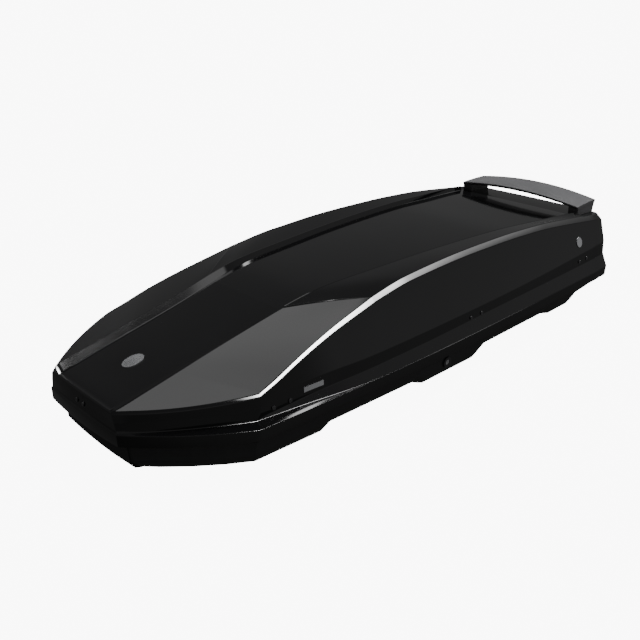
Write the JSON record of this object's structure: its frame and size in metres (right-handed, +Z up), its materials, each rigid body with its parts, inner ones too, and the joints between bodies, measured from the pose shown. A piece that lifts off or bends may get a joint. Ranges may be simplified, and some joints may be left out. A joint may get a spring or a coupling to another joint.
{
  "type": "roof cargo box",
  "caption": "Long black car roof cargo box with a faceted gloss lid that opens on both sides, a rear spoiler, textured tub, locks and roof bar clamps.",
  "frame": {"origin": "under the middle of the box, on the surface it stands on", "axes": "+Z up, -Y towards the nose (the car's front), +X towards the car's left side"},
  "size_m": [0.7944, 2.01, 0.402],
  "materials": {
    "lid_gloss": "high gloss black thermoformed sheet",
    "base_texture": "fine textured black sheet",
    "seal_rubber": "matt rubber",
    "badge_silver": "satin silver",
    "rivet_steel": "black painted rivets and brackets",
    "pin_steel": "turned steel",
    "latch_steel": "zinc plated strip",
    "hardware_plastic": "moulded glass-filled nylon",
    "lock_steel": "satin chrome",
    "rail_steel": "galvanised channel",
    "jaw_rubber": "rubber-coated steel jaw",
    "knob_grey": "moulded grey plastic",
    "beam_steel": "black powder coat"
  },
  "bodies": {
    "base": {"base_shell": "base_texture", "rim_seal": "seal_rubber", "floor_rail_front_left": "rail_steel", "floor_rail_front_right": "rail_steel", "floor_rail_rear_left": "rail_steel", "floor_rail_rear_right": "rail_steel", "clamp_housing_front_left": "hardware_plastic", "clamp_housing_front_right": "hardware_plastic", "clamp_housing_rear_left": "hardware_plastic", "clamp_housing_rear_right": "hardware_plastic", "latch_guide_front_left": "hardware_plastic", "latch_guide_front_right": "hardware_plastic", "latch_guide_rear_left": "hardware_plastic", "latch_guide_rear_right": "hardware_plastic", "lock_housing_left": "hardware_plastic", "lock_housing_right": "hardware_plastic"},
    "left_pins": {"hinge_pin_front_left": "pin_steel", "hinge_pin_mid_left": "pin_steel", "hinge_pin_rear_left": "pin_steel"},
    "lid": {"lid_shell": "lid_gloss", "rear_spoiler": "lid_gloss", "nose_badge": "badge_silver", "nose_rivets": "rivet_steel", "side_badge_left": "badge_silver", "side_badge_right": "badge_silver", "side_plate_left": "badge_silver", "side_plate_right": "badge_silver", "lid_bracket_front_left": "rivet_steel", "lid_bracket_front_right": "rivet_steel", "lid_bracket_mid_left": "rivet_steel", "lid_bracket_mid_right": "rivet_steel", "lid_bracket_rear_left": "rivet_steel", "lid_bracket_rear_right": "rivet_steel", "hinge_pin_front_right": "pin_steel", "hinge_pin_mid_right": "pin_steel", "hinge_pin_rear_right": "pin_steel", "lid_beam_front": "beam_steel", "lid_beam_rear": "beam_steel"},
    "lock_left": {"lock_plug_left": "lock_steel"},
    "latch_left": {"latch_bar_left": "latch_steel"},
    "knob_front_left": {"clamp_knob_front_left": "knob_grey"},
    "jaw_front_left": {"clamp_jaw_front_left": "jaw_rubber"},
    "knob_rear_left": {"clamp_knob_rear_left": "knob_grey"},
    "jaw_rear_left": {"clamp_jaw_rear_left": "jaw_rubber"},
    "lock_right": {"lock_plug_right": "lock_steel"},
    "latch_right": {"latch_bar_right": "latch_steel"},
    "knob_front_right": {"clamp_knob_front_right": "knob_grey"},
    "jaw_front_right": {"clamp_jaw_front_right": "jaw_rubber"},
    "knob_rear_right": {"clamp_knob_rear_right": "knob_grey"},
    "jaw_rear_right": {"clamp_jaw_rear_right": "jaw_rubber"}
  },
  "joints": [
    {"name": "lid_open_left", "type": "hinge", "parent": "base", "child": "left_pins", "pos_m": [-0.35, 0, 0.132], "axis": [0, -1, 0], "range_deg": [0, 42]},
    {"name": "lid_open_right", "type": "hinge", "parent": "left_pins", "child": "lid", "pos_m": [0.35, 0, 0.132], "axis": [0, -1, 0], "range_deg": [-42, 0]},
    {"name": "lock_turn_left", "type": "hinge", "parent": "base", "child": "lock_left", "pos_m": [0.355, 0.014, 0.076], "axis": [1, 0, 0], "range_deg": [0, 90]},
    {"name": "latch_slide_left", "type": "slide", "parent": "base", "child": "latch_left", "axis": [0, -1, 0], "range_m": [0, 0.018]},
    {"name": "knob_turn_front_left", "type": "hinge", "parent": "base", "child": "knob_front_left", "pos_m": [0.23, -0.304, 0.0958], "axis": [0, 0, 1], "range_deg": [0, 180]},
    {"name": "jaw_swing_front_left", "type": "hinge", "parent": "base", "child": "jaw_front_left", "pos_m": [0.23, -0.24, 0.0738], "axis": [1, 0, 0], "range_deg": [0, 30]},
    {"name": "knob_turn_rear_left", "type": "hinge", "parent": "base", "child": "knob_rear_left", "pos_m": [0.23, 0.396, 0.1058], "axis": [0, 0, 1], "range_deg": [0, 180]},
    {"name": "jaw_swing_rear_left", "type": "hinge", "parent": "base", "child": "jaw_rear_left", "pos_m": [0.23, 0.46, 0.0838], "axis": [1, 0, 0], "range_deg": [0, 30]},
    {"name": "lock_turn_right", "type": "hinge", "parent": "base", "child": "lock_right", "pos_m": [-0.355, 0.014, 0.076], "axis": [-1, 0, 0], "range_deg": [0, 90]},
    {"name": "latch_slide_right", "type": "slide", "parent": "base", "child": "latch_right", "axis": [0, -1, 0], "range_m": [0, 0.018]},
    {"name": "knob_turn_front_right", "type": "hinge", "parent": "base", "child": "knob_front_right", "pos_m": [-0.23, -0.304, 0.0958], "axis": [0, 0, 1], "range_deg": [0, 180]},
    {"name": "jaw_swing_front_right", "type": "hinge", "parent": "base", "child": "jaw_front_right", "pos_m": [-0.23, -0.24, 0.0738], "axis": [1, 0, 0], "range_deg": [0, 30]},
    {"name": "knob_turn_rear_right", "type": "hinge", "parent": "base", "child": "knob_rear_right", "pos_m": [-0.23, 0.396, 0.1058], "axis": [0, 0, 1], "range_deg": [0, 180]},
    {"name": "jaw_swing_rear_right", "type": "hinge", "parent": "base", "child": "jaw_rear_right", "pos_m": [-0.23, 0.46, 0.0838], "axis": [1, 0, 0], "range_deg": [0, 30]}
  ],
  "couplings": [
    {"joint": "lock_turn_left", "follows": "latch_slide_left", "rad_per_m": 87.266},
    {"joint": "jaw_swing_front_left", "follows": "knob_turn_front_left", "ratio": 0.16667},
    {"joint": "jaw_swing_rear_left", "follows": "knob_turn_rear_left", "ratio": 0.16667},
    {"joint": "lock_turn_right", "follows": "latch_slide_right", "rad_per_m": 87.266},
    {"joint": "jaw_swing_front_right", "follows": "knob_turn_front_right", "ratio": 0.16667},
    {"joint": "jaw_swing_rear_right", "follows": "knob_turn_rear_right", "ratio": 0.16667}
  ]
}
